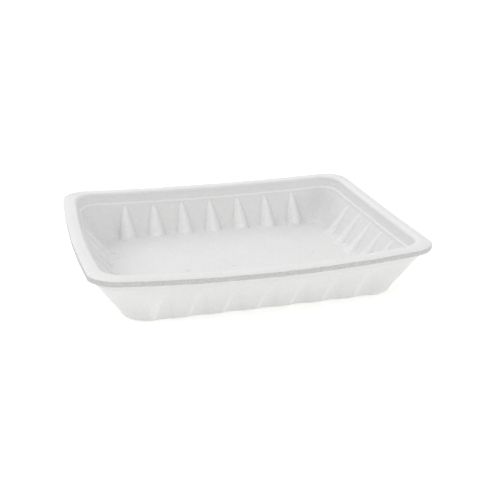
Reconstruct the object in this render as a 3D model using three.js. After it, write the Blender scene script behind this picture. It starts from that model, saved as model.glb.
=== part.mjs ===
// Foam meat tray: one thermoformed sheet with a rolled flange, a stacking step and ribbed walls.
// Millimetres, +Z up, origin at the centre of the flat underside, X along the long side.
import * as THREE from 'three';

// Plan of the cut edge, taken at its four corners. The sides bow out from there.
const HALF_LENGTH = 139;
const HALF_WIDTH = 110.2;
const END_BOW = 4;
const SIDE_BOW = 5.7;
const BASE_BOW_SHARE = 0.12;
const RIM_CORNER_RADIUS = 19.3;
const BASE_CORNER_RADIUS = 20.5;
const INNER_CORNER_TIGHTENING = 3.5;

// Height of the cut edge at the corners. The rim sags between them.
const EDGE_HEIGHT = 46.1;
const SIDE_SAG = 4.5;
const END_SAG = 4.3;

// Section through the rim and a side wall. Insets are measured inwards from the cut edge.
const EDGE_THICKNESS = 4;
const FLOOR_THICKNESS = 4.3;
const FLANGE_RISE = 1.4;
const FLANGE_CREST_INSET = 5.5;
const FLANGE_SHOULDER_INSET = 11.4;
const FLANGE_SHOULDER_DROP = 2.2;
const STEP_INSET = 13.4;
const STEP_DROP = 9.3;
const STEP_LEDGE = 0.8;
const FLOOR_CORNER_INSET = 24.6;
const FLOOR_FILLET = 5.2;
const BASE_FILLET = 4.8;
// Foam between the inside and the outside: level across the wall, and upright below the step.
const STEP_WALL_THICKNESS = 6.8;
const FOOT_WALL_THICKNESS = 4.8;
const STEP_THICKNESS = 2.5;
// The end walls lean further in than the side walls by this much at the floor.
const END_LEAN = 6.3;

// Ribs are pressed in from outside: a round finger inside the wall, a shallow flute outside it.
const SIDE_RIBS = 7;
const SIDE_RIB_PITCH = 27.7;
const END_RIBS = 5;
const END_RIB_PITCH = 24.8;
const RIB_TOP_DROP = 2.2;
const RIB_TOP_HALF_WIDTH = 0.9;
const RIB_FOOT_HALF_WIDTH = 8.2;
const RIB_NOSE_HEIGHT = 4.4;
const RIB_NOSE_REACH = 4.8;
const RIB_TOE_REACH = 7.1;
const RIB_END_LEAN = 3.6;
const RIB_ROUNDNESS = 0.75;
const RIB_WIDENING = 0.8;
const GROOVE_TOP_DROP = 2.4;
const GROOVE_FOOT_HALF_WIDTH = 7.6;
const GROOVE_DEPTH = 2;
const GROOVE_BASE_DEPTH = 0.8;
const RIB_FACETS = 6;
const CORNER_FACETS = 6;

const point = (inset, height) => new THREE.Vector2(inset, height);
const line = (from, to) => new THREE.LineCurve(from, to);
const bend = (from, control, to) => new THREE.QuadraticBezierCurve(from, control, to);
const even = (value) => () => value;
const taper = (from, to) => (share) => THREE.MathUtils.lerp(from, to, share ** RIB_WIDENING);

const floorHeight = FLOOR_THICKNESS;
const stepHeight = EDGE_HEIGHT - STEP_DROP;
const outerStepHeight = stepHeight - STEP_THICKNESS;
const outerStepInset = STEP_INSET - STEP_WALL_THICKNESS;
const baseCornerInset = FLOOR_CORNER_INSET - FOOT_WALL_THICKNESS;

// Fillet between a wall that comes down from `top` to `corner` and the flat beyond it.
function filletCurve(top, corner, radius) {
  const wall = top.clone().sub(corner);
  const tangent = radius * Math.tan(Math.atan2(wall.y, -wall.x) / 2);
  const start = corner.clone().add(wall.normalize().multiplyScalar(tangent));
  return bend(start, corner, corner.clone().add(point(tangent, 0)));
}

// A stretch of the section, cut into levels. `plain` runs between the ribs, `pressed` along the
// middle of a rib, and `width` gives the rib's half width on the way.
function stretch(plain, pressed, steps, width, inside) {
  const levels = [];
  for (let step = 1; step <= steps; step += 1) {
    const share = step / steps;
    levels.push({
      plain: plain.getPoint(share),
      pressed: pressed.getPoint(share),
      width: width(share),
      inside,
    });
  }
  return levels;
}

const plainStretch = (curve, steps, width, inside) => stretch(curve, curve, steps, width, inside);

// Outside, from the flat underside up the wall and out under the flange.
function outerLevels() {
  const step = point(outerStepInset + STEP_LEDGE, outerStepHeight);
  const fillet = filletCurve(step, point(baseCornerInset, 0), BASE_FILLET);
  const grooveFoot = fillet.v0.clone().add(point(GROOVE_DEPTH, 0));
  const grooveBase = fillet.v2.clone().add(point(GROOVE_BASE_DEPTH, 0));
  const grooveBend = fillet.v1.clone().add(point(GROOVE_DEPTH, 0));
  const ledge = point(outerStepInset, outerStepHeight + STEP_LEDGE);
  const edgeFoot = point(0, EDGE_HEIGHT - EDGE_THICKNESS);
  const underside = bend(ledge, point(outerStepInset, edgeFoot.y), edgeFoot);
  const grooveTop = line(step, fillet.v0).getPoint(GROOVE_TOP_DROP / (step.y - fillet.v0.y));
  const footWidth = even(GROOVE_FOOT_HALF_WIDTH);
  const wallWidth = (share) => taper(RIB_TOP_HALF_WIDTH, GROOVE_FOOT_HALF_WIDTH)(1 - share);
  const upFillet = bend(fillet.v2, fillet.v1, fillet.v0);
  const upGroove = bend(grooveBase, grooveBend, grooveFoot);
  return [
    { plain: fillet.v2, pressed: grooveBase, width: GROOVE_FOOT_HALF_WIDTH, inside: false },
    ...stretch(upFillet, upGroove, 3, footWidth, false),
    ...stretch(line(fillet.v0, grooveTop), line(grooveFoot, grooveTop), 3, wallWidth, false),
    ...plainStretch(line(grooveTop, step), 1, footWidth, false),
    ...plainStretch(line(step, ledge), 1, footWidth, false),
    ...plainStretch(underside, 2, footWidth, false),
  ];
}

// The cut edge, the domed flange and the upper band down to the stacking step.
function flangeLevels() {
  const edgeFoot = point(0, EDGE_HEIGHT - EDGE_THICKNESS);
  const edgeTop = point(0, EDGE_HEIGHT);
  const crest = point(FLANGE_CREST_INSET, EDGE_HEIGHT + FLANGE_RISE);
  const shoulder = point(FLANGE_SHOULDER_INSET, EDGE_HEIGHT - FLANGE_SHOULDER_DROP);
  const lip = point(STEP_INSET, stepHeight + STEP_LEDGE);
  const step = point(STEP_INSET + STEP_LEDGE, stepHeight);
  const dome = bend(edgeTop, point(FLANGE_CREST_INSET / 2, crest.y), crest);
  const roll = bend(crest, point(FLANGE_SHOULDER_INSET, crest.y), shoulder);
  const width = even(RIB_FOOT_HALF_WIDTH);
  return [
    ...plainStretch(line(edgeFoot, edgeTop), 1, width, true),
    ...plainStretch(dome, 3, width, true),
    ...plainStretch(roll, 3, width, true),
    ...plainStretch(line(shoulder, lip), 1, width, true),
    ...plainStretch(line(lip, step), 1, width, true),
  ];
}

// Inside, from the step down the ribbed wall to the floor.
function innerLevels() {
  const step = point(STEP_INSET + STEP_LEDGE, stepHeight);
  const fillet = filletCurve(step, point(FLOOR_CORNER_INSET, floorHeight), FLOOR_FILLET);
  const ribTop = line(step, fillet.v0).getPoint(RIB_TOP_DROP / (step.y - fillet.v0.y));
  const nose = point(FLOOR_CORNER_INSET + RIB_NOSE_REACH, floorHeight + RIB_NOSE_HEIGHT);
  const toe = point(FLOOR_CORNER_INSET + RIB_TOE_REACH, floorHeight);
  const tip = point(ribTop.x + RIB_TOP_DROP, ribTop.y - RIB_TOP_DROP);
  const noseCurve = bend(nose, point(toe.x, floorHeight + RIB_NOSE_HEIGHT / 2), toe);
  const wallWidth = taper(RIB_TOP_HALF_WIDTH, RIB_FOOT_HALF_WIDTH);
  return [
    ...plainStretch(line(step, ribTop), 1, even(RIB_TOP_HALF_WIDTH), true),
    ...stretch(line(ribTop, fillet.v0), bend(ribTop, tip, nose), 5, wallWidth, true),
    ...stretch(fillet, noseCurve, 3, even(RIB_FOOT_HALF_WIDTH), true),
  ];
}

// The four sides in turn, anticlockwise from +Y. `run` is the direction of travel.
const sides = [
  { out: point(0, 1), run: point(-1, 0), long: true },
  { out: point(-1, 0), run: point(0, -1), long: false },
  { out: point(0, -1), run: point(1, 0), long: true },
  { out: point(1, 0), run: point(0, 1), long: false },
];

const ribCentre = (side, rib) => {
  const count = side.long ? SIDE_RIBS : END_RIBS;
  const pitch = side.long ? SIDE_RIB_PITCH : END_RIB_PITCH;
  return (rib - (count - 1) / 2) * pitch;
};

// Stations across every rib of a side, with the share of the press at each.
function ribStations(side) {
  const stations = [];
  const count = side.long ? SIDE_RIBS : END_RIBS;
  for (let rib = 0; rib < count; rib += 1) {
    for (let facet = 0; facet <= RIB_FACETS; facet += 1) {
      const across = -Math.cos((Math.PI * facet) / RIB_FACETS);
      const press = (1 - across * across) ** RIB_ROUNDNESS;
      stations.push({ centre: ribCentre(side, rib), across, press });
    }
  }
  return stations;
}

// How far up the wall a height is, from 0 at the floor to 1 at the step and above.
function wallShare(height) {
  return THREE.MathUtils.clamp((height - floorHeight) / (outerStepHeight - floorHeight), 0, 1);
}

function cornerRadius(level) {
  const radius = THREE.MathUtils.lerp(BASE_CORNER_RADIUS, RIM_CORNER_RADIUS, wallShare(level.plain.y));
  const inner = level.inside ? Math.min(1, level.plain.x / STEP_INSET) : 0;
  return radius - INNER_CORNER_TIGHTENING * inner;
}

// Half the length and width of the ring at a height, before its inset.
function halfSizes(height, lean) {
  return { length: HALF_LENGTH - lean * (1 - wallShare(height)), width: HALF_WIDTH };
}

// The plan of a ring at a distance along one side. Past the straight it follows the corner's arc.
function sidePoint(side, along, inset, radius, half) {
  const reach = (side.long ? half.width : half.length) - inset - radius;
  const straight = (side.long ? half.length : half.width) - inset - radius;
  const past = Math.max(0, Math.abs(along) - straight);
  const turn = Math.asin(Math.min(1, past / radius)) * Math.sign(along);
  const kept = THREE.MathUtils.clamp(along, -straight, straight);
  return { turn, plan: arcPoint(side, kept, reach, turn, radius) };
}

function arcPoint(side, straight, reach, turn, radius) {
  const outwards = side.out.clone().multiplyScalar(reach + radius * Math.cos(turn));
  return outwards.add(side.run.clone().multiplyScalar(straight + radius * Math.sin(turn)));
}

// Bows the sides and sags the rim, both most at the middle of a side.
function formed(plan, inset, height, half) {
  const share = wallShare(height);
  const bow = THREE.MathUtils.lerp(BASE_BOW_SHARE, 1, share);
  const x = plan.x / (half.length - inset);
  const y = plan.y / (half.width - inset);
  const sideWeight = Math.max(0, 1 - x * x) * y ** 4;
  const endWeight = Math.max(0, 1 - y * y) * x ** 4;
  return new THREE.Vector3(
    plan.x + Math.sign(x) * END_BOW * bow * endWeight,
    plan.y + Math.sign(y) * SIDE_BOW * bow * sideWeight,
    height - share * (SIDE_SAG * sideWeight + END_SAG * endWeight),
  );
}

function ringPoints(level) {
  const radius = cornerRadius(level);
  const { x: inset, y: height } = level.plain;
  const plainHalf = halfSizes(height, END_LEAN);
  const ring = [];
  sides.forEach((side, index) => {
    ribStations(side).forEach(({ centre, across, press }) => {
      const section = level.plain.clone().lerp(level.pressed, press);
      const lean = side.long ? END_LEAN : THREE.MathUtils.lerp(END_LEAN, RIB_END_LEAN, press);
      const half = halfSizes(section.y, lean);
      const { plan } = sidePoint(side, centre + across * level.width, section.x, radius, half);
      ring.push(formed(plan, section.x, section.y, half));
    });
    const next = sides[(index + 1) % sides.length];
    const lastFlank = -ribCentre(side, 0) + level.width;
    const firstFlank = -ribCentre(next, 0) + level.width;
    const leave = sidePoint(side, lastFlank, inset, radius, plainHalf).turn;
    const arrive = sidePoint(next, firstFlank, inset, radius, plainHalf).turn;
    const reach = (side.long ? plainHalf.width : plainHalf.length) - inset - radius;
    const straight = (side.long ? plainHalf.length : plainHalf.width) - inset - radius;
    for (let facet = 0; facet <= CORNER_FACETS; facet += 1) {
      const share = (facet + 0.5) / (CORNER_FACETS + 1);
      const turn = THREE.MathUtils.lerp(leave, Math.PI / 2 - arrive, share);
      const plan = arcPoint(side, straight, reach, turn, radius);
      ring.push(formed(plan, inset, height, plainHalf));
    }
  });
  return ring;
}

// Lofts the rings from the underside over the flange to the floor and closes both flat ends.
function trayGeometry() {
  const rings = [...outerLevels(), ...flangeLevels(), ...innerLevels()].map(ringPoints);
  const around = rings[0].length;
  const positions = rings.flat().flatMap((place) => place.toArray());
  const faces = [];
  for (let level = 0; level + 1 < rings.length; level += 1) {
    for (let station = 0; station < around; station += 1) {
      const here = level * around + station;
      const beside = level * around + ((station + 1) % around);
      faces.push(here, beside, beside + around, here, beside + around, here + around);
    }
  }
  const flatFaces = (ring) => THREE.ShapeUtils.triangulateShape(ring.map(({ x, y }) => point(x, y)), []);
  flatFaces(rings[0]).forEach(([a, b, c]) => faces.push(a, c, b));
  const floorStart = (rings.length - 1) * around;
  flatFaces(rings.at(-1)).forEach((face) => faces.push(...face.map((corner) => floorStart + corner)));
  const geometry = new THREE.BufferGeometry();
  geometry.setAttribute('position', new THREE.Float32BufferAttribute(positions, 3));
  geometry.setIndex(faces);
  geometry.computeVertexNormals();
  return geometry;
}

const foam = new THREE.MeshStandardMaterial({ color: 0xecebe7, roughness: 0.55, metalness: 0 });
foam.name = 'white_foam';
const tray = new THREE.Mesh(trayGeometry(), foam);
tray.name = 'foam_tray';

const group = new THREE.Group();
group.name = 'foam_meat_tray';
group.add(tray);

export default group;
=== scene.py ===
from functools import cached_property
from typing import NamedTuple

import bmesh
import bpy
import numpy as np
from mathutils import Matrix, Vector, noise


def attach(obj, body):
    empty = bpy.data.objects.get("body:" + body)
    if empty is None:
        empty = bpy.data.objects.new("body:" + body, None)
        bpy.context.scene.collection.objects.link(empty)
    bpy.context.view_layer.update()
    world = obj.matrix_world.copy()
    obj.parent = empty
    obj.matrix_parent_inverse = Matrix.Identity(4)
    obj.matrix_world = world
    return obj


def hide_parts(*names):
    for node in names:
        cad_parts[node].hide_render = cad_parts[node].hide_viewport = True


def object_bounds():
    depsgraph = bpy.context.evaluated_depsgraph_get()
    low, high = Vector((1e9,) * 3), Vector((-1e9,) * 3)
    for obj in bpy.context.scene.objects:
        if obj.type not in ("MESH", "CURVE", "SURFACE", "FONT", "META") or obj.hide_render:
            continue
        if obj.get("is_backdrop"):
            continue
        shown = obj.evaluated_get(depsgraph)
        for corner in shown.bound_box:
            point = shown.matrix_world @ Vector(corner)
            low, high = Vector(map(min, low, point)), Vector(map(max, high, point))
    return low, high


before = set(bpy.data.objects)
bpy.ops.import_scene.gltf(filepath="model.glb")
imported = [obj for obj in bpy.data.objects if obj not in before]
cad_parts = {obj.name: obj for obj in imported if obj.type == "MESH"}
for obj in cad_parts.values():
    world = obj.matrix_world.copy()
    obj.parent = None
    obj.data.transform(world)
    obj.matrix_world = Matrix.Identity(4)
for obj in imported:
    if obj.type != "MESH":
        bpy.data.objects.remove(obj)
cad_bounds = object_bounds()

MM = 0.001

# The tray's forming values in millimetres, as in the part's source. The flutes outside are
# shallower here, where the foam's own faint lines show them.
HALF_LENGTH, HALF_WIDTH = 139, 110.2
END_BOW, SIDE_BOW, BASE_BOW_SHARE = 4, 5.7, 0.12
RIM_CORNER_RADIUS, BASE_CORNER_RADIUS, INNER_CORNER_TIGHTENING = 19.3, 20.5, 3.5
EDGE_HEIGHT, SIDE_SAG, END_SAG = 46.1, 4.5, 4.3
EDGE_THICKNESS, FLOOR_THICKNESS = 4, 4.3
FLANGE_RISE, FLANGE_CREST_INSET = 1.4, 5.5
FLANGE_SHOULDER_INSET, FLANGE_SHOULDER_DROP = 11.4, 2.2
STEP_INSET, STEP_DROP, STEP_LEDGE = 13.4, 9.3, 0.8
FLOOR_CORNER_INSET, FLOOR_FILLET, BASE_FILLET = 24.6, 5.2, 4.8
STEP_WALL_THICKNESS, FOOT_WALL_THICKNESS, STEP_THICKNESS = 6.8, 4.8, 2.5
END_LEAN, RIB_END_LEAN = 6.3, 3.6
SIDE_RIBS, SIDE_RIB_PITCH = 7, 27.7
END_RIBS, END_RIB_PITCH = 5, 24.8
RIB_TOP_DROP, RIB_TOP_HALF_WIDTH, RIB_FOOT_HALF_WIDTH = 2.2, 0.9, 8.2
RIB_NOSE_HEIGHT, RIB_NOSE_REACH, RIB_TOE_REACH = 4.4, 4.8, 7.1
RIB_ROUNDNESS, RIB_WIDENING = 0.75, 0.8
GROOVE_TOP_DROP, GROOVE_FOOT_HALF_WIDTH = 2.4, 7.6
GROOVE_DEPTH, GROOVE_BASE_DEPTH = 1.3, 0.7

STEP_HEIGHT = EDGE_HEIGHT - STEP_DROP
OUTER_STEP_HEIGHT = STEP_HEIGHT - STEP_THICKNESS
OUTER_STEP_INSET = STEP_INSET - STEP_WALL_THICKNESS
BASE_CORNER_INSET = FLOOR_CORNER_INSET - FOOT_WALL_THICKNESS

# The ribs on the end walls are pressed a little less deep than those on the sides, and a rib's
# press rises a little later at its two edges than a plain round one.
SIDE_RIB_RELIEF, END_RIB_RELIEF = 1, 0.84
RIB_EDGE_EASE, RIB_EDGE_POWER = 0.25, 0.5

RIB_FACETS, GAP_FACETS, CORNER_FACETS = 18, 5, 20
# The flat floor and underside close in rings of these shares of their outlines.
FLAT_RINGS = (0.97, 0.94, 0.9, 0.84, 0.76, 0.66, 0.54, 0.4, 0.25, 0.1)
# Points this near each other are one, where the sheet's two edges meet.
SEAM_REACH = 1e-4

# Formed foam is never quite even. Its skin wanders by this much, in waves of which so many fit
# in a millimetre, and settles even over this height above the table.
UNEVENNESS, PLAN_WAVES, HEIGHT_WAVES = 0.22, 0.045, 0.06
SETTLING_HEIGHT = 6

# The foam is fully drawn where a press moves it this far, and a flute draws it less than a rib.
FULL_DRAW, FLUTE_DRAW = 2, 0.4
# The foam's colour carries painted highlights along the lip of the stacking step, on a part of
# the flange's roll, along the left edge of each flute as seen from outside, and down the crest of
# each rib.
# Widths are shares of half a rib, and a flute's line is full from this depth on.
LIP_PAINTED_HIGHLIGHT = 1
ROLL_PAINTED_HIGHLIGHT, ROLL_LIGHT_FROM, ROLL_LIGHT_TO = 0.4, 0.2, 0.5
SIDE_CREST_PAINTED_HIGHLIGHT, END_CREST_PAINTED_HIGHLIGHT, CREST_WIDTH = 0.55, 0.3, 0.32
FLUTE_LINE_WIDTH, FLUTE_LINE_DEPTH = 0.09, 1


class Level(NamedTuple):
    """One level of the section, where points are an inset from the rim and a height.

    plain is the wall's point between two ribs, pressed is the point in the middle of a rib, and
    width is half a rib's width. The field after it is how much highlight is painted into the
    foam's colour all along the level.
    inside is false on the outer wall and under the flange, and cut is true on the cut edge.
    """

    plain: np.ndarray
    pressed: np.ndarray
    width: float
    painted_highlight: float = 0.0
    inside: bool = True
    cut: bool = False


def point(inset, height):
    return np.array([inset, height], float)


def line(start, end):
    return lambda share: start + (end - start) * share


def bend(start, control, end):
    return lambda share: ((1 - share) ** 2 * start + 2 * share * (1 - share) * control
                          + share ** 2 * end)


def even(value):
    return lambda share: value


def taper(narrow, wide):
    return lambda share: narrow + (wide - narrow) * share ** RIB_WIDENING


def fillet_points(top, corner, radius):
    """Where a round between the wall and the flat starts, its corner, and where it ends."""
    wall = top - corner
    tangent = radius * np.tan(np.arctan2(wall[1], -wall[0]) / 2)
    start = corner + wall / np.linalg.norm(wall) * tangent
    return start, corner, corner + point(tangent, 0)


def stretch(plain, pressed, steps, width, painted_highlight=even(0.0), **traits):
    """A stretch of the section, cut into levels from the plain wall to the middle of a rib."""
    shares = [(step + 1) / steps for step in range(steps)]
    return [Level(plain(s), pressed(s), width(s), painted_highlight(s), **traits) for s in shares]


def outer_levels():
    """From the underside's edge up the fluted wall and out under the flange."""
    step = point(OUTER_STEP_INSET + STEP_LEDGE, OUTER_STEP_HEIGHT)
    high, corner, low = fillet_points(step, point(BASE_CORNER_INSET, 0), BASE_FILLET)
    foot = high + point(GROOVE_DEPTH, 0)
    base = low + point(GROOVE_BASE_DEPTH, 0)
    knee = corner + point(GROOVE_DEPTH, 0)
    top = line(step, high)(GROOVE_TOP_DROP / (step[1] - high[1]))
    ledge = point(OUTER_STEP_INSET, OUTER_STEP_HEIGHT + STEP_LEDGE)
    edge_foot = point(0, EDGE_HEIGHT - EDGE_THICKNESS)
    underside = bend(ledge, point(OUTER_STEP_INSET, edge_foot[1]), edge_foot)
    wide = even(GROOVE_FOOT_HALF_WIDTH)
    widening = taper(RIB_TOP_HALF_WIDTH, GROOVE_FOOT_HALF_WIDTH)
    return (
        [Level(low, base, GROOVE_FOOT_HALF_WIDTH, inside=False)]
        + stretch(bend(low, corner, high), bend(base, knee, foot), 8, wide, inside=False)
        + stretch(line(high, top), line(foot, top), 16, lambda s: widening(1 - s), inside=False)
        + stretch(line(top, step), line(top, step), 2, wide, inside=False)
        + stretch(line(step, ledge), line(step, ledge), 2, wide, inside=False)
        + stretch(underside, underside, 7, wide, inside=False)
    )


def flange_levels():
    """Up the cut edge, over the domed flange and down the upper band to the stacking step."""
    foot, top = point(0, EDGE_HEIGHT - EDGE_THICKNESS), point(0, EDGE_HEIGHT)
    crest = point(FLANGE_CREST_INSET, EDGE_HEIGHT + FLANGE_RISE)
    shoulder = point(FLANGE_SHOULDER_INSET, EDGE_HEIGHT - FLANGE_SHOULDER_DROP)
    lip = point(STEP_INSET, STEP_HEIGHT + STEP_LEDGE)
    step = point(STEP_INSET + STEP_LEDGE, STEP_HEIGHT)
    dome = bend(top, point(FLANGE_CREST_INSET / 2, crest[1]), crest)
    roll = bend(crest, point(FLANGE_SHOULDER_INSET, crest[1]), shoulder)
    wide = even(RIB_FOOT_HALF_WIDTH)
    return (
        stretch(line(foot, top), line(foot, top), 4, wide, cut=True)
        + stretch(dome, dome, 7, wide)
        # The roll and the lip of the step carry painted highlights in the foam's colour.
        + stretch(roll, roll, 8, wide, painted_highlight=roll_painted_highlight)
        + stretch(line(shoulder, lip), line(shoulder, lip), 4, wide)
        + stretch(line(lip, step), line(lip, step), 2, wide, painted_highlight=even(LIP_PAINTED_HIGHLIGHT))
    )


# The painted highlight on a part of the flange's roll.
def roll_painted_highlight(share):
    return ROLL_PAINTED_HIGHLIGHT if ROLL_LIGHT_FROM < share < ROLL_LIGHT_TO else 0


def inner_levels():
    """From the stacking step down the ribbed wall to the edge of the food floor."""
    step = point(STEP_INSET + STEP_LEDGE, STEP_HEIGHT)
    corner = point(FLOOR_CORNER_INSET, FLOOR_THICKNESS)
    high, corner, low = fillet_points(step, corner, FLOOR_FILLET)
    top = line(step, high)(RIB_TOP_DROP / (step[1] - high[1]))
    nose = point(FLOOR_CORNER_INSET + RIB_NOSE_REACH, FLOOR_THICKNESS + RIB_NOSE_HEIGHT)
    toe = point(FLOOR_CORNER_INSET + RIB_TOE_REACH, FLOOR_THICKNESS)
    tip = top + point(RIB_TOP_DROP, -RIB_TOP_DROP)
    nose_curve = bend(nose, point(toe[0], FLOOR_THICKNESS + RIB_NOSE_HEIGHT / 2), toe)
    widening = taper(RIB_TOP_HALF_WIDTH, RIB_FOOT_HALF_WIDTH)
    return (
        stretch(line(step, top), line(step, top), 2, even(RIB_TOP_HALF_WIDTH))
        + stretch(line(top, high), bend(top, tip, nose), 18, widening)
        + stretch(bend(high, corner, low), nose_curve, 9, even(RIB_FOOT_HALF_WIDTH))
    )


def wall_share(height):
    """How far a height lies up the wall: 0 at the food floor, 1 from the stacking step on."""
    span = OUTER_STEP_HEIGHT - FLOOR_THICKNESS
    return np.clip((height - FLOOR_THICKNESS) / span, 0, 1)


def corner_radius(level):
    share = wall_share(level.plain[1])
    radius = BASE_CORNER_RADIUS + (RIM_CORNER_RADIUS - BASE_CORNER_RADIUS) * share
    inner = min(1, level.plain[0] / STEP_INSET) if level.inside else 0
    return radius - INNER_CORNER_TIGHTENING * inner


def half_length(height, lean):
    return HALF_LENGTH - lean * (1 - wall_share(height))


def formed(x, y, inset, height, half):
    """Bows the sides and sags the rim, both most at the middle of a side."""
    share = wall_share(height)
    bow = BASE_BOW_SHARE + (1 - BASE_BOW_SHARE) * share
    across, along = x / (half - inset), y / (HALF_WIDTH - inset)
    side = np.maximum(0, 1 - across ** 2) * along ** 4
    end = np.maximum(0, 1 - along ** 2) * across ** 4
    return np.stack([
        x + np.sign(across) * END_BOW * bow * end,
        y + np.sign(along) * SIDE_BOW * bow * side,
        height - share * (SIDE_SAG * side + END_SAG * end),
    ], axis=-1)


def drawn_foam(level):
    """How far the foam is drawn at a level: fully on the ribs inside, less on the flutes."""
    moved = np.linalg.norm(level.pressed - level.plain)
    return min(1, moved / FULL_DRAW) * (1 if level.inside else FLUTE_DRAW)


def painted_highlight_at(level, across, long_side):
    """How much highlight is painted into the foam's colour at each place across a rib or a flute.
    """
    if level.inside:
        crest = SIDE_CREST_PAINTED_HIGHLIGHT if long_side else END_CREST_PAINTED_HIGHLIGHT
        painted_line_highlight = crest * drawn_foam(level) * np.exp(-(across / CREST_WIDTH) ** 2)
    else:
        moved = np.linalg.norm(level.pressed - level.plain)
        painted_line_highlight = (min(1, moved / FLUTE_LINE_DEPTH)
                      * np.exp(-((across + 1) / FLUTE_LINE_WIDTH) ** 2))
    return np.maximum(level.painted_highlight, painted_line_highlight)


class Side(NamedTuple):
    """One of the four sides: the way out of the tray, and the way along the side."""

    out: np.ndarray
    run: np.ndarray
    long_side: bool

    def pattern(self):
        """How many ribs the side has, their pitch, and how deep they are pressed."""
        if self.long_side:
            return SIDE_RIBS, SIDE_RIB_PITCH, SIDE_RIB_RELIEF
        return END_RIBS, END_RIB_PITCH, END_RIB_RELIEF

    def reaches(self, half):
        """How far the rim lies ahead of the middle, and how far it runs to either hand."""
        return (HALF_WIDTH, half) if self.long_side else (half, HALF_WIDTH)

    def last_rib(self):
        count, pitch, _ = self.pattern()
        return (count - 1) / 2 * pitch


# The four sides in turn, anticlockwise from +Y.
SIDES = (
    Side(np.array([0.0, 1.0]), np.array([-1.0, 0.0]), True),
    Side(np.array([-1.0, 0.0]), np.array([0.0, -1.0]), False),
    Side(np.array([0.0, -1.0]), np.array([1.0, 0.0]), True),
    Side(np.array([1.0, 0.0]), np.array([0.0, 1.0]), False),
)


def rib_stations(side):
    """Centre, place across, place in the gap, and press of each station along a side."""
    count, pitch, relief = side.pattern()
    stations = []
    for rib in range(count):
        centre = (rib - (count - 1) / 2) * pitch
        for facet in range(RIB_FACETS + 1):
            across = -np.cos(np.pi * facet / RIB_FACETS)
            bulge = max(0.0, 1 - across ** 2)
            ease = min(1.0, bulge / RIB_EDGE_EASE) ** RIB_EDGE_POWER
            stations.append((centre, across, 0.0, relief * bulge ** RIB_ROUNDNESS * ease))
        if rib + 1 < count:
            for gap in range(1, GAP_FACETS):
                stations.append((centre, 1.0, gap / GAP_FACETS, 0.0))
    return np.array(stations).T


def side_turn(along, inset, radius, reach):
    """How far the outline has turned into the corner, and where its straight stretch ends."""
    straight = reach - inset - radius
    past = np.maximum(0, np.abs(along) - straight)
    return np.arcsin(np.minimum(1, past / radius)) * np.sign(along), straight


def ribbed_side(level, side):
    """The points of one side at a level, with how drawn the foam is and its painted highlight at
    each.
    """
    centre, across, gap, press = rib_stations(side)
    _, pitch, _ = side.pattern()
    radius = corner_radius(level)
    section = level.plain + (level.pressed - level.plain) * press[:, None]
    inset, height = section[:, 0], section[:, 1]
    lean = END_LEAN + (0 if side.long_side else RIB_END_LEAN - END_LEAN) * press
    half = half_length(height, lean)
    ahead, beside = side.reaches(half)
    along = centre + across * level.width + gap * (pitch - 2 * level.width)
    turn, straight = side_turn(along, inset, radius, beside)
    kept = np.clip(along, -straight, straight)
    plan = (side.out * (ahead - inset - radius + radius * np.cos(turn))[:, None]
            + side.run * (kept + radius * np.sin(turn))[:, None])
    places = formed(plan[:, 0], plan[:, 1], inset, height, half)
    return places, press * drawn_foam(level), painted_highlight_at(level, across, side.long_side)


def plain_corner(level, side, next_side):
    """The points of the round corner from one side to the next, where nothing is pressed."""
    inset, height = level.plain
    radius, half = corner_radius(level), half_length(height, END_LEAN)
    ahead, beside = side.reaches(half)
    leave = side_turn(side.last_rib() + level.width, inset, radius, beside)[0]
    arrive = side_turn(next_side.last_rib() + level.width, inset, radius, ahead)[0]
    shares = (np.arange(CORNER_FACETS + 1) + 0.5) / (CORNER_FACETS + 1)
    turn = leave + (np.pi / 2 - arrive - leave) * shares
    plan = (side.out * (ahead - inset - radius + radius * np.cos(turn))[:, None]
            + side.run * (beside - inset - radius + radius * np.sin(turn))[:, None])
    places = formed(plan[:, 0], plan[:, 1], inset, height, half)
    return places, np.zeros(len(shares)), np.full(len(shares), float(level.painted_highlight))


def ring(level):
    """One closed ring of the tray: its points, how drawn the foam is, and its painted highlight."""
    pieces = []
    for side, next_side in zip(SIDES, SIDES[1:] + SIDES[:1]):
        pieces.append(ribbed_side(level, side))
        pieces.append(plain_corner(level, side, next_side))
    return [np.concatenate(part) for part in zip(*pieces)]


def flat_rings(edge, shares):
    """Rings that fill a flat face inside its edge, where the foam is neither drawn nor given a
    painted highlight.
    """
    bare = np.zeros(len(edge))
    return [(edge * np.array([share, share, 1]), bare, bare) for share in shares]


def foam_unevenness(place):
    """Which way the foam's skin wanders at a place, and how far, at most about 1."""
    return Vector((
        noise.noise(place * PLAN_WAVES),
        noise.noise(place * PLAN_WAVES + Vector((7, 3, 1))),
        noise.noise(place * HEIGHT_WAVES + Vector((2, 9, 4))),
    ))


def tray_rows():
    """All rings from the middle of the underside to the middle of the food floor.

    Gives their points, how drawn the foam is and its painted highlight at each, and which rings are
    cut.
    """
    levels = outer_levels() + flange_levels() + inner_levels()
    formed_rings = [ring(level) for level in levels]
    underside = flat_rings(formed_rings[0][0], reversed(FLAT_RINGS))
    food_floor = flat_rings(formed_rings[-1][0], FLAT_RINGS)
    places, drawn, painted_highlight = zip(*underside, *formed_rings, *food_floor)
    flat = [False] * len(FLAT_RINGS)
    return places, drawn, painted_highlight, flat + [level.cut for level in levels] + flat


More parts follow.
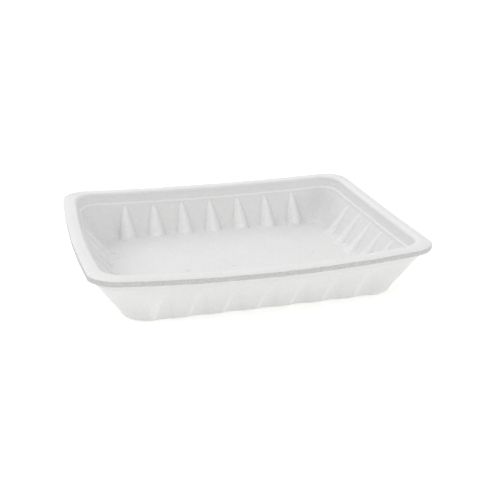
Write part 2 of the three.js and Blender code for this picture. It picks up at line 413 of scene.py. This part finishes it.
def build_tray():
    """Lays a sheet of foam around the tray's rings, and closes it along its seam and ends."""
    places, drawn, painted_highlight, cut = tray_rows()
    rows, around = len(places), len(places[0])
    sheet = bmesh.new()
    bmesh.ops.create_grid(sheet, x_segments=around, y_segments=rows - 1, size=0.5)
    drawn_layer = sheet.verts.layers.float.new("pressed")
    # Each point keeps how much highlight is painted into the foam's colour there.
    painted_highlight_layer = sheet.verts.layers.float.new("lip")
    row_of = {}
    for vert in sheet.verts:
        station = round((vert.co.x + 0.5) * around) % around
        row = round((vert.co.y + 0.5) * (rows - 1))
        row_of[vert] = row
        vert.co = Vector(places[row][station])
        vert[drawn_layer] = drawn[row][station]
        vert[painted_highlight_layer] = painted_highlight[row][station]
    for face in sheet.faces:
        upper_row = max(row_of[vert] for vert in face.verts)
        face.material_index = int(cut[upper_row])
        face.smooth = True
    bmesh.ops.remove_doubles(sheet, verts=sheet.verts, dist=SEAM_REACH)
    open_ends = [edge for edge in sheet.edges if edge.is_boundary]
    bmesh.ops.holes_fill(sheet, edges=open_ends)
    bmesh.ops.recalc_face_normals(sheet, faces=sheet.faces)
    for vert in sheet.verts:
        share = min(1, vert.co.z / SETTLING_HEIGHT)
        vert.co += foam_unevenness(vert.co) * UNEVENNESS * share
    bmesh.ops.scale(sheet, vec=(MM, MM, MM), verts=sheet.verts)
    return standing_mesh(sheet, "formed_foam_tray")


def standing_mesh(sheet, name):
    """Turns a bmesh into an object of the scene, and frees the bmesh."""
    mesh = bpy.data.meshes.new(name)
    sheet.to_mesh(mesh)
    sheet.free()
    piece = bpy.data.objects.new(name, mesh)
    bpy.context.collection.objects.link(piece)
    return piece


# A Mix node has like-named sockets for each kind of value, so its colours go by their numbers.
COLOUR_A, COLOUR_B, COLOUR_RESULT = 6, 7, 2


class Signal:
    """One output of a node. Arithmetic on it adds Math nodes to the same finish."""

    def __init__(self, finish, socket):
        self.finish, self.socket = finish, socket

    def maths(self, operation, first, second):
        return self.finish.node("ShaderNodeMath", {"operation": operation}, {0: first, 1: second})

    def __add__(self, other):
        return self.maths("ADD", self, other)

    def __sub__(self, other):
        return self.maths("SUBTRACT", self, other)

    def __rsub__(self, other):
        return self.maths("SUBTRACT", other, self)

    def __mul__(self, other):
        return self.maths("MULTIPLY", self, other)

    __radd__, __rmul__ = __add__, __mul__

    def or_else(self, other):
        return self.maths("MAXIMUM", self, other)

    def between(self, low, high, at_low=0.0, at_high=1.0):
        """Goes smoothly from one level to another while this signal goes from low to high."""
        return self.finish.node(
            "ShaderNodeMapRange", {"interpolation_type": "SMOOTHSTEP"},
            {"Value": self, "From Min": low, "From Max": high, "To Min": at_low,
             "To Max": at_high}, "Result")

    def tint(self, dark, light):
        """The colour from dark to light that this signal stands for, and beyond both."""
        return self.finish.node(
            "ShaderNodeMix", {"data_type": "RGBA", "clamp_factor": False},
            {"Factor": self, COLOUR_A: dark, COLOUR_B: light}, COLOUR_RESULT)


class Finish:
    """The nodes of a material or of the world."""

    def __init__(self, owner):
        owner.use_nodes = True
        self.tree = owner.node_tree

    def node(self, kind, settings, sockets, output=0):
        """Adds a node, sets it, fills its sockets, and gives the output that is asked for."""
        made = self.tree.nodes.new(kind)
        for name, value in settings.items():
            setattr(made, name, value)
        self.fill(made, sockets)
        return Signal(self, made.outputs[output])

    def fill(self, node, sockets):
        """Gives a node's sockets their values, or links those that take a signal."""
        for name, value in sockets.items():
            if isinstance(value, Signal):
                self.tree.links.new(value.socket, node.inputs[name])
            else:
                node.inputs[name].default_value = value

    @cached_property
    def place(self):
        return self.node("ShaderNodeTexCoord", {}, {}, "Object")

    def kept_on_mesh(self, layer):
        return self.node("ShaderNodeAttribute", {"attribute_name": layer}, {}, "Fac")

    def cloud(self, scale, detail=2.0, roughness=0.5):
        return self.node(
            "ShaderNodeTexNoise", {},
            {"Vector": self.place, "Scale": scale, "Detail": detail, "Roughness": roughness}, "Fac")

    def cells(self, size):
        return self.node(
            "ShaderNodeTexVoronoi", {"feature": "F1"},
            {"Vector": self.place, "Scale": 1 / size, "Randomness": 1.0}, "Distance")

    def spot(self, centre, radius, soft):
        """One inside a round spot, fading to nothing over its soft edge."""
        away = self.node("ShaderNodeVectorMath", {"operation": "DISTANCE"},
                         {0: self.place, 1: centre}, "Value")
        return away.between(radius, radius + soft, 1, 0)

    def wrinkles(self, centre, reach):
        """Fine folds around one spot, strongest at its middle."""
        folds = self.node(
            "ShaderNodeTexWave", {"bands_direction": "Z"},
            {"Vector": self.place, "Scale": 95, "Distortion": 3.5, "Detail": 2.0,
             "Detail Scale": 0.6}, "Fac")
        return folds * self.spot(centre, reach * 0.3, reach)

    def bump(self, relief, depth):
        return self.node("ShaderNodeBump", {},
                         {"Height": relief, "Distance": depth, "Strength": 1.0}, "Normal")


# The width of the skin's cells and of the cut edge's pores, and the depth of both, in metres.
CELL_SIZE, PORE_SIZE, BUMP_DEPTH = 0.0021, 0.0009, 0.0005
SKIN_DARK, SKIN_LIGHT = (0.636, 0.638, 0.636, 1), (0.72, 0.722, 0.72, 1)
# The cut edge's colours are darker than the skin's, partly for its open cells and partly as painted
# shade.
CUT_DARK, CUT_LIGHT = (0.45, 0.45, 0.445, 1), (0.56, 0.56, 0.555, 1)
# The tone at which the skin has its dark colour, how fast it grows lighter from there, and how
# much a mark or a patch of painted shade takes from it.
TONE_LOW, TONE_SPREAD, MARK_AND_SHADE_STRENGTH = 0.25, 1.8, 2.4
# Where one corner is faintly wrinkled under the stacking step, in metres.
WRINKLED_CORNER, WRINKLE_REACH = (-0.119, 0.082, 0.033), 0.011

FOOD_FLOOR = FLOOR_THICKNESS * MM

# Small marks on the foam, and painted shade in two corners: place, radius and soft edge in metres,
# and darkness.
FOAM_MARKS_AND_PAINTED_SHADE = (
    ((-0.0089, 0.0072, FOOD_FLOOR), 0.0003, 0.0006, 1.0),
    ((-0.0055, -0.0075, FOOD_FLOOR), 0.0006, 0.0012, 0.45),
    ((-0.0034, -0.0068, FOOD_FLOOR), 0.0004, 0.0010, 0.3),
    ((0.0127, -0.0062, FOOD_FLOOR), 0.0003, 0.0009, 0.25),
    ((-0.0458, -0.0080, FOOD_FLOOR), 0.0007, 0.0014, 0.3),
    ((-0.1013, 0.0484, FOOD_FLOOR), 0.0008, 0.0016, 0.3),
    ((-0.0996, 0.0354, FOOD_FLOOR), 0.0006, 0.0016, 0.25),
    ((0.0745, 0.0072, FOOD_FLOOR), 0.0003, 0.0006, 0.9),
    ((0.1190, -0.0100, 0.0325), 0.0004, 0.0007, 0.7),
    # The last two are painted shade in the back right and back left inner corners.
    ((0.1130, 0.0900, 0.0220), 0.0020, 0.0200, 0.14),
    ((-0.1300, 0.1010, 0.0440), 0.0010, 0.0120, 0.12),
)


def foam_material(name, roughness, translucency):
    """White expanded foam, which light enters a little way."""
    material = bpy.data.materials.new(name)
    finish = Finish(material)
    shader = finish.tree.nodes["Principled BSDF"]
    finish.fill(shader, {
        "Roughness": roughness,
        "Specular IOR Level": 0.45,
        "Subsurface Weight": translucency,
        "Subsurface Radius": (1.0, 0.95, 0.85),
        "Subsurface Scale": 0.004,
    })
    return material, finish, shader


def foam_skin():
    """The closed skin, whose grain opens where the foam is drawn over a rib; its colour holds
    painted highlights and painted shade.
    """
    material, finish, shader = foam_material("foam_skin", 0.42, 0.25)
    drawn, painted_highlight = finish.kept_on_mesh("pressed"), finish.kept_on_mesh("lip")
    mottle = finish.cloud(scale=38, detail=3)
    grain = finish.cells(CELL_SIZE)
    fine = finish.cloud(scale=520, detail=3, roughness=0.65)
    dust = finish.cloud(scale=420).between(0.70, 0.78)
    # Painted highlights from the mesh lighten the tone, beside the grain, mottle and dust.
    tone = mottle * 0.25 + fine * (drawn * 0.5 + 0.58) + grain * 0.1 - dust * 0.3 + painted_highlight * 0.45
    # Marks darken the tone, and so does painted shade in two corners.
    for centre, radius, soft, dark in FOAM_MARKS_AND_PAINTED_SHADE:
        tone = tone - finish.spot(centre, radius, soft) * (dark * MARK_AND_SHADE_STRENGTH)
    colour = ((tone - TONE_LOW) * TONE_SPREAD).tint(SKIN_DARK, SKIN_LIGHT)
    relief = grain * (drawn * 0.35 + 0.4) + fine * (drawn * 0.3 + 0.6) + mottle * 0.5
    relief = relief + finish.wrinkles(WRINKLED_CORNER, WRINKLE_REACH) * 0.6
    finish.fill(shader, {"Base Color": colour, "Normal": finish.bump(relief, BUMP_DEPTH)})
    return material


def cut_foam():
    """The cut edge, where the knife leaves the foam's cells open; its dark colour is partly painted
    shade.
    """
    material, finish, shader = foam_material("cut_foam", 0.75, 0.2)
    pores = finish.cells(PORE_SIZE)
    fray = finish.cloud(scale=700, detail=3)
    tone = (pores * 0.6 + fray * 0.5).between(0.2, 0.8)
    relief = pores + fray * 0.6
    finish.fill(shader, {"Base Color": tone.tint(CUT_DARK, CUT_LIGHT),
                         "Normal": finish.bump(relief, BUMP_DEPTH)})
    return material


FLOOR_HALF_SIZE = 6


def build_floor():
    """A matt white studio floor, which glows a little so that the tray's shade stays pale."""
    outline = bmesh.new()
    bmesh.ops.create_grid(outline, x_segments=1, y_segments=1, size=FLOOR_HALF_SIZE)
    floor = standing_mesh(outline, "studio_floor")
    material = bpy.data.materials.new("studio_white")
    finish = Finish(material)
    finish.fill(finish.tree.nodes["Principled BSDF"], {
        "Base Color": (0.82, 0.82, 0.82, 1),
        "Emission Color": (1, 0.99, 0.95, 1),
        "Emission Strength": 0.35,
        "Roughness": 1.0,
        "Specular IOR Level": 0.0,
    })
    floor.data.materials.append(material)
    floor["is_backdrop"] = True


WHITE = (1, 1, 1, 1)
STUDIO_LEVEL = 0.8

# Each lamp's name, the way towards it, its strength, its spread, its colour, and whether it
# casts a shadow.
LAMPS = (
    ("key_light", (-0.2, 0.85, 1.0), 0.74, 0.9, (1, 1, 1), True),
    ("front_fill", (0.55, -0.85, 0.35), 0.53, 1.0, (1, 1, 0.99), False),
    ("left_fill", (-0.9, -0.05, 0.85), 0.58, 0.5, (1, 1, 1), True),
)


def build_lamp(name, towards, energy, spread, colour, shadow):
    lamp = bpy.data.lights.new(name, "SUN")
    lamp.energy = energy
    lamp.angle = spread
    lamp.color = colour
    lamp.use_shadow = shadow
    standing = bpy.data.objects.new(name, lamp)
    standing.rotation_euler = Vector(towards).to_track_quat("Z", "Y").to_euler()
    bpy.context.collection.objects.link(standing)


def build_studio():
    """Even light from all round, which is plain white where it is seen or mirrored."""
    world = bpy.data.worlds.new("studio")
    bpy.context.scene.world = world
    finish = Finish(world)
    studio = finish.tree.nodes["Background"]
    finish.fill(studio, {"Color": WHITE, "Strength": STUDIO_LEVEL})
    backdrop = finish.node("ShaderNodeBackground", {}, {"Color": WHITE, "Strength": 1.0})
    seen = finish.node("ShaderNodeLightPath", {}, {}, "Is Camera Ray")
    mirrored = finish.node("ShaderNodeLightPath", {}, {}, "Is Glossy Ray")
    seen_through = finish.node("ShaderNodeLightPath", {}, {}, "Is Transmission Ray")
    shown = finish.node("ShaderNodeMixShader", {}, {
        "Fac": seen.or_else(mirrored).or_else(seen_through),
        1: Signal(finish, studio.outputs["Background"]),
        2: backdrop,
    })
    finish.fill(finish.tree.nodes["World Output"], {"Surface": shown})


# The photograph's camera: its sensor and lens in millimetres, its framing shift, its place in
# metres, and the ways right and up in the picture.
SENSOR_WIDTH, LENS = 36, 65.39
SHIFT_X, SHIFT_Y = -0.0371, -0.0025
CAMERA_PLACE = Vector((-0.1988, -0.7113, 0.3051))
CAMERA_RIGHT = Vector((0.95506, -0.29602, 0.01579))
CAMERA_UP = Vector((0.09252, 0.34827, 0.93283))


def build_camera():
    lens = bpy.data.cameras.new("photo_camera")
    lens.sensor_width = SENSOR_WIDTH
    lens.lens = LENS
    lens.shift_x = SHIFT_X
    lens.shift_y = SHIFT_Y
    camera = bpy.data.objects.new("photo_camera", lens)
    axes = Matrix((CAMERA_RIGHT, CAMERA_UP, CAMERA_RIGHT.cross(CAMERA_UP)))
    camera.matrix_world = Matrix.Translation(CAMERA_PLACE) @ axes.transposed().to_4x4()
    bpy.context.collection.objects.link(camera)
    bpy.context.scene.camera = camera


tray = build_tray()
tray.data.materials.append(foam_skin())
tray.data.materials.append(cut_foam())
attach(tray, "root")
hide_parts("foam_tray")
build_floor()
build_studio()
for lamp in LAMPS:
    build_lamp(*lamp)
build_camera()
bpy.context.scene.view_settings.view_transform = "Standard"

plain = lambda bounds: [[float(value) for value in corner] for corner in bounds]
{"cad": plain(cad_bounds), "visual": plain(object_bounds())}
